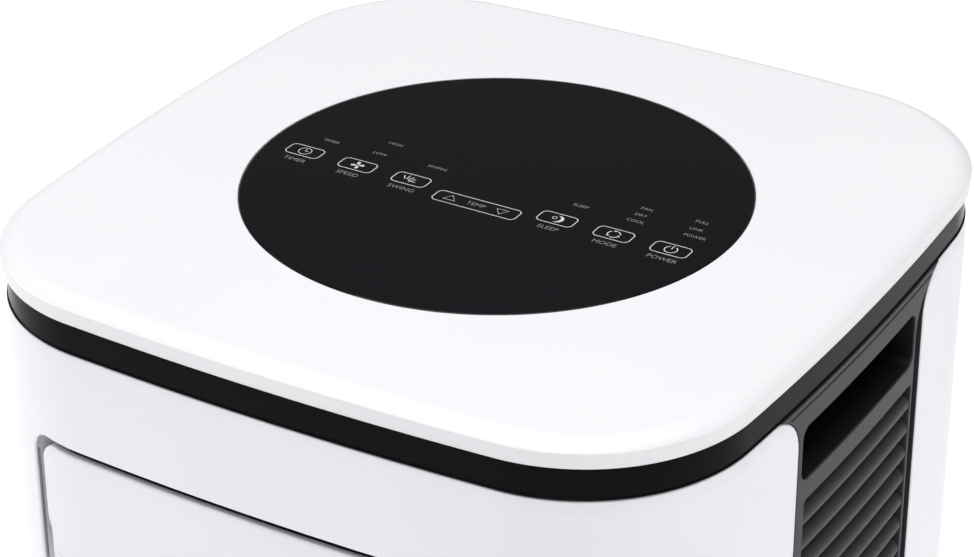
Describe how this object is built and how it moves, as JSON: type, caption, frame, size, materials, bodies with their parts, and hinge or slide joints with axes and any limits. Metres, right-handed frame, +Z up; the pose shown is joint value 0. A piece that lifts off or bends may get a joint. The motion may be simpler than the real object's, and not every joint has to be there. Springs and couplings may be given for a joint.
{
  "type": "portable air conditioner",
  "caption": "Upright room air conditioner on swivel casters, with a round glass control panel, a swinging front outlet flap and slatted side grilles with pocket handles.",
  "frame": {"origin": "on the floor, under the centre of the cabinet", "axes": "+Z up, -Y towards the front with the outlet flap, +X towards the right side as seen from the front"},
  "size_m": [0.34, 0.342, 0.7],
  "materials": {
    "lid_white": "smooth satin white moulding",
    "shell_white": "fine satin white moulding",
    "panel_black": "polished black control glass with printed keys",
    "neck_black": "glossy black moulding",
    "grille_grey": "fine textured dark grey moulding",
    "pocket_black": "black moulding",
    "inner_grey": "grey moulding",
    "inner_dark": "black glass-filled moulding",
    "foam_white": "off-white moulding",
    "board_green": "circuit board with parts",
    "coil_fins": "aluminium fins on copper tubes",
    "copper": "drawn copper tube",
    "steel": "zinc-plated sheet steel",
    "black_steel": "black enamel on steel",
    "rubber": "moulded rubber",
    "tyre": "hard caster plastic",
    "float_yellow": "foamed plastic",
    "screw": "blackened screw"
  },
  "bodies": {
    "cabinet": {"top_lid": "lid_white", "control_glass": "panel_black", "control_board": "board_green", "neck_band": "neck_black", "front_shell": "shell_white", "rear_shell": "shell_white", "side_grille_right": "grille_grey", "side_grille_left": "grille_grey", "handle_cup_right": "pocket_black", "handle_cup_left": "pocket_black", "base_tray": "inner_grey", "outlet_duct": "inner_dark", "flap_motor": "steel", "evaporator": "coil_fins", "upper_scroll": "foam_white", "upper_fan_motor": "steel", "drip_deck": "foam_white", "condenser": "coil_fins", "lower_scroll": "steel", "lower_fan_motor": "steel", "exhaust_collar": "shell_white", "compressor": "black_steel", "accumulator": "black_steel", "compressor_feet": "rubber", "discharge_pipe": "copper", "suction_pipe": "copper", "capillary_line": "copper", "slinger_motor": "steel", "float_switch": "foam_white", "cord_gland": "rubber", "electrical_box": "steel", "main_board": "board_green", "run_capacitor": "steel", "case_screws": "screw"},
    "flap": {"outlet_flap": "shell_white"},
    "vane_link": {"vane_link": "inner_dark"},
    "upper_fan": {"upper_fan_wheel": "inner_dark"},
    "lower_fan": {"lower_fan_wheel": "inner_dark"},
    "slinger": {"slinger_wheel": "foam_white"},
    "float": {"float": "float_yellow"},
    "upper_intake": {"upper_intake_grille": "shell_white", "upper_filter": "inner_dark"},
    "lower_intake": {"lower_intake_grille": "shell_white", "lower_filter": "inner_dark"},
    "drain_cap_upper": {"drain_cap_upper": "rubber"},
    "drain_cap_lower": {"drain_cap_lower": "rubber"},
    "vane_1": {"vane_1": "inner_dark"},
    "vane_2": {"vane_2": "inner_dark"},
    "vane_3": {"vane_3": "inner_dark"},
    "vane_4": {"vane_4": "inner_dark"},
    "vane_5": {"vane_5": "inner_dark"},
    "caster_fork_1": {"caster_fork_1": "inner_grey"},
    "caster_wheel_1": {"caster_wheel_1": "tyre"},
    "caster_fork_2": {"caster_fork_2": "inner_grey"},
    "caster_wheel_2": {"caster_wheel_2": "tyre"},
    "caster_fork_3": {"caster_fork_3": "inner_grey"},
    "caster_wheel_3": {"caster_wheel_3": "tyre"},
    "caster_fork_4": {"caster_fork_4": "inner_grey"},
    "caster_wheel_4": {"caster_wheel_4": "tyre"}
  },
  "joints": [
    {"name": "flap_hinge", "type": "hinge", "parent": "cabinet", "child": "flap", "pos_m": [0, -0.1293, 0.54], "axis": [1, 0, 0], "range_deg": [0, 60]},
    {"name": "vane_1_swing", "type": "hinge", "parent": "cabinet", "child": "vane_1", "pos_m": [-0.092, -0.0953, 0.5625], "axis": [0, 0, 1], "range_deg": [-35, 35]},
    {"name": "vane_2_swing", "type": "hinge", "parent": "cabinet", "child": "vane_2", "pos_m": [-0.046, -0.0953, 0.5625], "axis": [0, 0, 1], "range_deg": [-35, 35]},
    {"name": "vane_3_swing", "type": "hinge", "parent": "cabinet", "child": "vane_3", "pos_m": [0, -0.0953, 0.5625], "axis": [0, 0, 1], "range_deg": [-35, 35]},
    {"name": "vane_4_swing", "type": "hinge", "parent": "cabinet", "child": "vane_4", "pos_m": [0.046, -0.0953, 0.5625], "axis": [0, 0, 1], "range_deg": [-35, 35]},
    {"name": "vane_5_swing", "type": "hinge", "parent": "cabinet", "child": "vane_5", "pos_m": [0.092, -0.0953, 0.5625], "axis": [0, 0, 1], "range_deg": [-35, 35]},
    {"name": "vane_link_pivot", "type": "hinge", "parent": "vane_1", "child": "vane_link", "pos_m": [-0.092, -0.0843, 0.5625], "axis": [0, 0, 1], "range_deg": [-35, 35]},
    {"name": "upper_fan_spin", "type": "hinge", "parent": "cabinet", "child": "upper_fan", "pos_m": [0, 0.05, 0.49], "axis": [0, 1, 0], "continuous": true},
    {"name": "lower_fan_spin", "type": "hinge", "parent": "cabinet", "child": "lower_fan", "pos_m": [0, 0.075, 0.158], "axis": [0, 1, 0], "continuous": true},
    {"name": "slinger_spin", "type": "hinge", "parent": "cabinet", "child": "slinger", "pos_m": [0.076, 0.107, 0.082], "axis": [0, 1, 0], "continuous": true},
    {"name": "float_rise", "type": "slide", "parent": "cabinet", "child": "float", "axis": [0, 0, 1], "range_m": [0, 0.01]},
    {"name": "upper_intake_pull", "type": "slide", "parent": "cabinet", "child": "upper_intake", "axis": [0, 1, 0], "range_m": [0, 0.04]},
    {"name": "lower_intake_pull", "type": "slide", "parent": "cabinet", "child": "lower_intake", "axis": [0, 1, 0], "range_m": [0, 0.04]},
    {"name": "drain_cap_upper_pull", "type": "slide", "parent": "cabinet", "child": "drain_cap_upper", "axis": [0, 1, 0], "range_m": [0, 0.02]},
    {"name": "drain_cap_lower_pull", "type": "slide", "parent": "cabinet", "child": "drain_cap_lower", "axis": [0, 1, 0], "range_m": [0, 0.02]},
    {"name": "caster_1_swivel", "type": "hinge", "parent": "cabinet", "child": "caster_fork_1", "pos_m": [-0.1, -0.1, 0.05], "axis": [0, 0, 1], "continuous": true},
    {"name": "caster_1_roll", "type": "hinge", "parent": "caster_fork_1", "child": "caster_wheel_1", "pos_m": [-0.087, -0.1, 0.02], "axis": [0, 1, 0], "continuous": true},
    {"name": "caster_2_swivel", "type": "hinge", "parent": "cabinet", "child": "caster_fork_2", "pos_m": [0.1, -0.1, 0.05], "axis": [0, 0, 1], "continuous": true},
    {"name": "caster_2_roll", "type": "hinge", "parent": "caster_fork_2", "child": "caster_wheel_2", "pos_m": [0.113, -0.1, 0.02], "axis": [0, 1, 0], "continuous": true},
    {"name": "caster_3_swivel", "type": "hinge", "parent": "cabinet", "child": "caster_fork_3", "pos_m": [0.1, 0.1, 0.05], "axis": [0, 0, 1], "continuous": true},
    {"name": "caster_3_roll", "type": "hinge", "parent": "caster_fork_3", "child": "caster_wheel_3", "pos_m": [0.113, 0.1, 0.02], "axis": [0, 1, 0], "continuous": true},
    {"name": "caster_4_swivel", "type": "hinge", "parent": "cabinet", "child": "caster_fork_4", "pos_m": [-0.1, 0.1, 0.05], "axis": [0, 0, 1], "continuous": true},
    {"name": "caster_4_roll", "type": "hinge", "parent": "caster_fork_4", "child": "caster_wheel_4", "pos_m": [-0.087, 0.1, 0.02], "axis": [0, 1, 0], "continuous": true}
  ],
  "couplings": [
    {"joint": "vane_2_swing", "follows": "vane_1_swing", "ratio": 1},
    {"joint": "vane_3_swing", "follows": "vane_1_swing", "ratio": 1},
    {"joint": "vane_4_swing", "follows": "vane_1_swing", "ratio": 1},
    {"joint": "vane_5_swing", "follows": "vane_1_swing", "ratio": 1},
    {"joint": "vane_link_pivot", "follows": "vane_1_swing", "ratio": -1}
  ]
}
